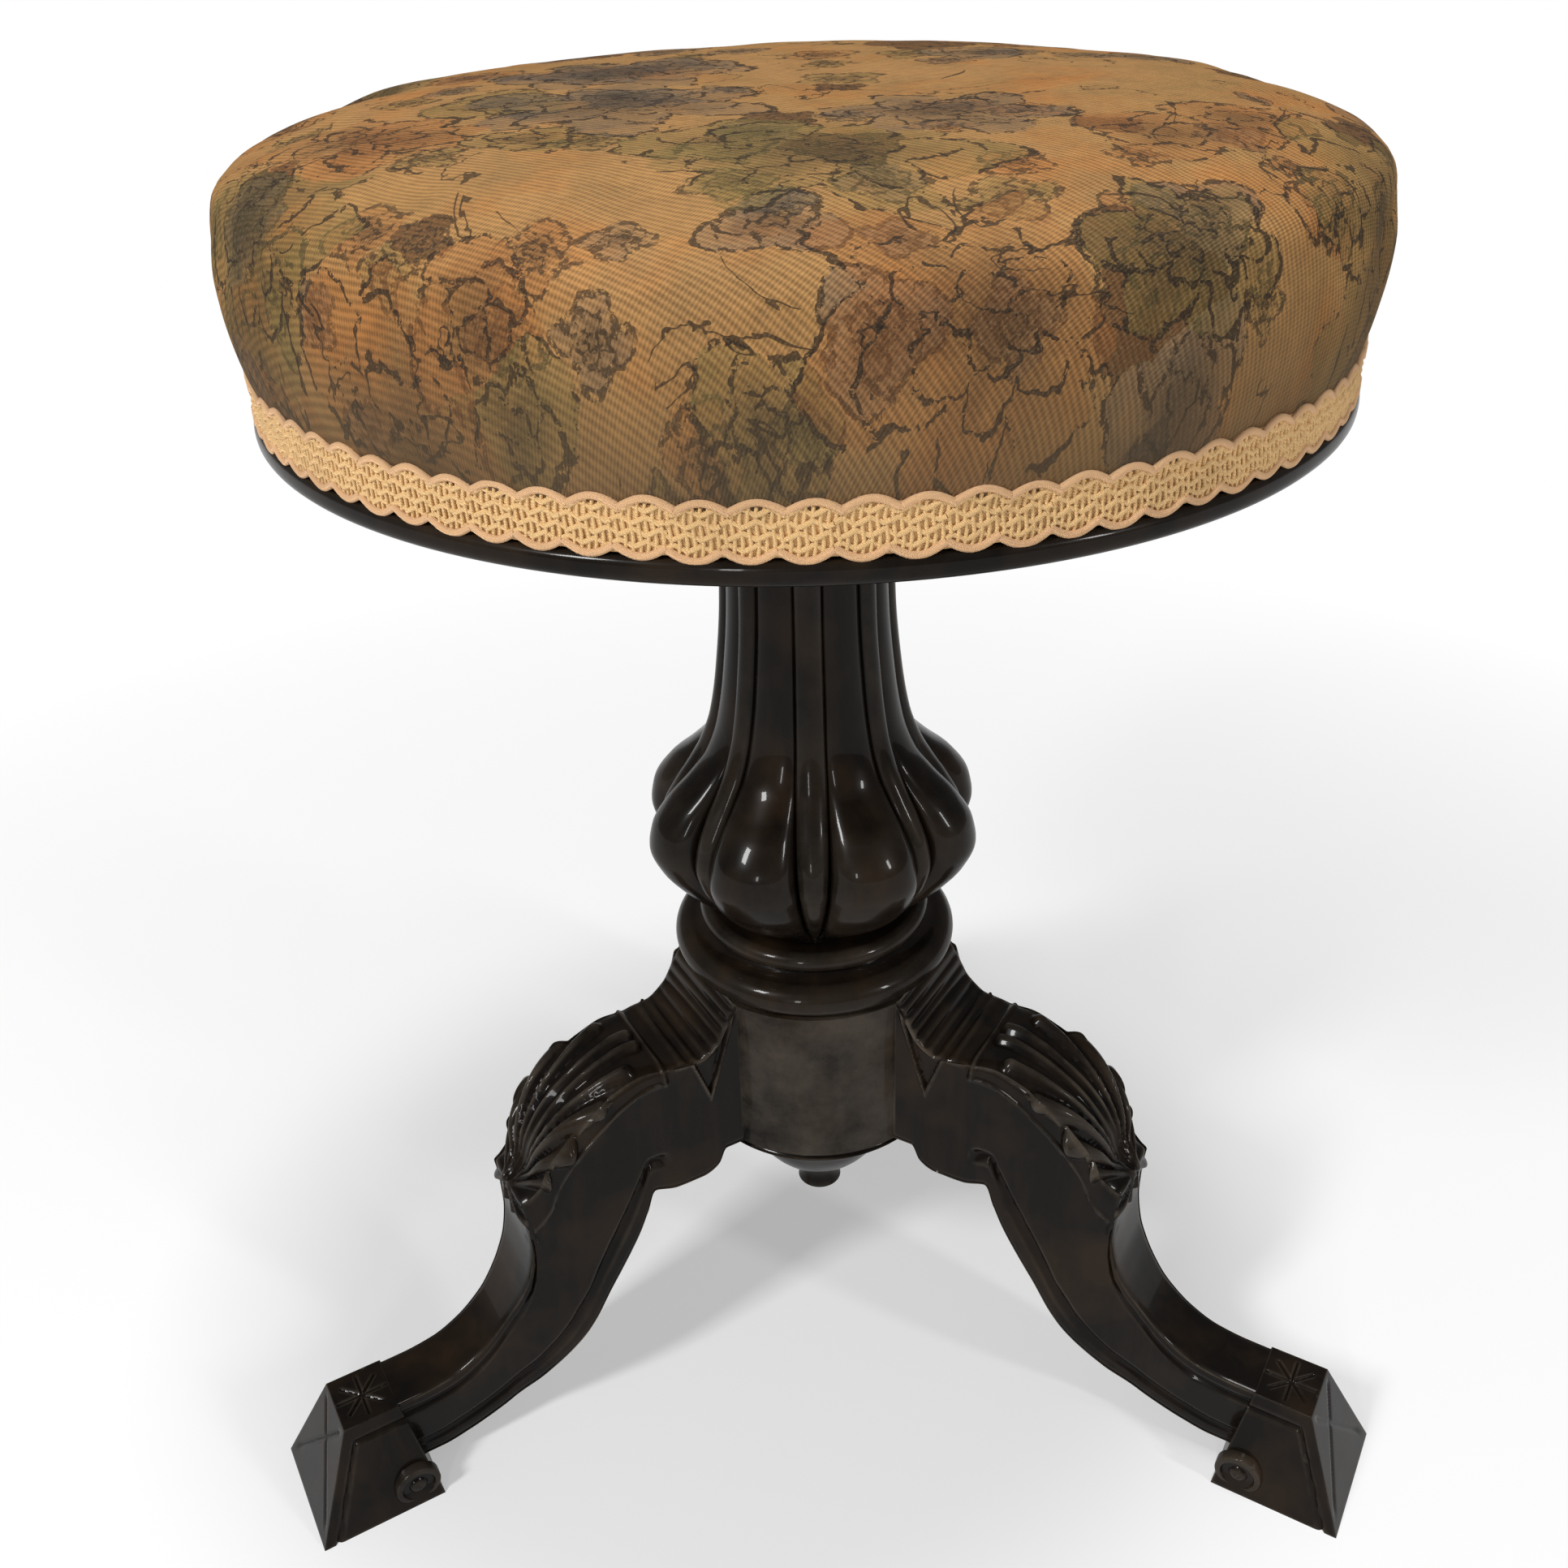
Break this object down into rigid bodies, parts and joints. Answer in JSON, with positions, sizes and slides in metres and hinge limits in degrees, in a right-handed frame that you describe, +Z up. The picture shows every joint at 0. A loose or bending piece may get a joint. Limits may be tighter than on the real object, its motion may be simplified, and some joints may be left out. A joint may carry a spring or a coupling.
{
  "type": "revolving piano stool",
  "caption": "Round padded seat on an iron screw that turns to raise it, in a lobed wooden column on three carved cabriole legs.",
  "frame": {"origin": "on the floor, on the axis of the column and the seat screw", "axes": "+Z up along the screw; -Y towards the front, between two legs; +X to the right as seen from the front"},
  "size_m": [0.428, 0.401, 0.4845],
  "materials": {
    "ebonised_wood": "gloss french polish",
    "raw_wood": "bare beech",
    "nut_brass": "dull",
    "screw_iron": "oiled, worn",
    "flange_iron": "black japanned",
    "fixing_steel": "dull",
    "horsehair": "matted hair",
    "calico": "unbleached cotton",
    "tapestry": "woven floral tapestry",
    "braid": "gimp braid"
  },
  "bodies": {
    "base": {"hub_block": "ebonised_wood", "leg_dowels": "raw_wood", "base_pendant": "ebonised_wood", "column_collar": "ebonised_wood", "column": "ebonised_wood", "leg_back": "ebonised_wood", "leg_front_left": "ebonised_wood", "leg_front_right": "ebonised_wood", "screw_nut": "nut_brass", "nut_screws": "fixing_steel"},
    "stop_washer": {"stop_washer": "screw_iron"},
    "seat": {"seat_screw": "screw_iron", "washer_pin": "fixing_steel", "flange_rivet": "fixing_steel", "seat_flange": "flange_iron", "flange_screws": "fixing_steel", "seat_board": "ebonised_wood", "hair_stuffing": "horsehair", "calico_undercover": "calico", "tapestry_cover": "tapestry", "cover_tacks": "fixing_steel", "gimp_braid": "braid"}
  },
  "joints": [
    {"name": "seat_rise", "type": "slide", "parent": "base", "child": "stop_washer", "axis": [0, 0, 1], "range_m": [0, 0.096]},
    {"name": "seat_turn", "type": "hinge", "parent": "stop_washer", "child": "seat", "pos_m": [0, 0, 0.4], "axis": [0, 0, 1], "range_deg": [0, 4320]}
  ],
  "couplings": [
    {"joint": "seat_rise", "follows": "seat_turn", "m_per_rad": 0.0012732}
  ]
}
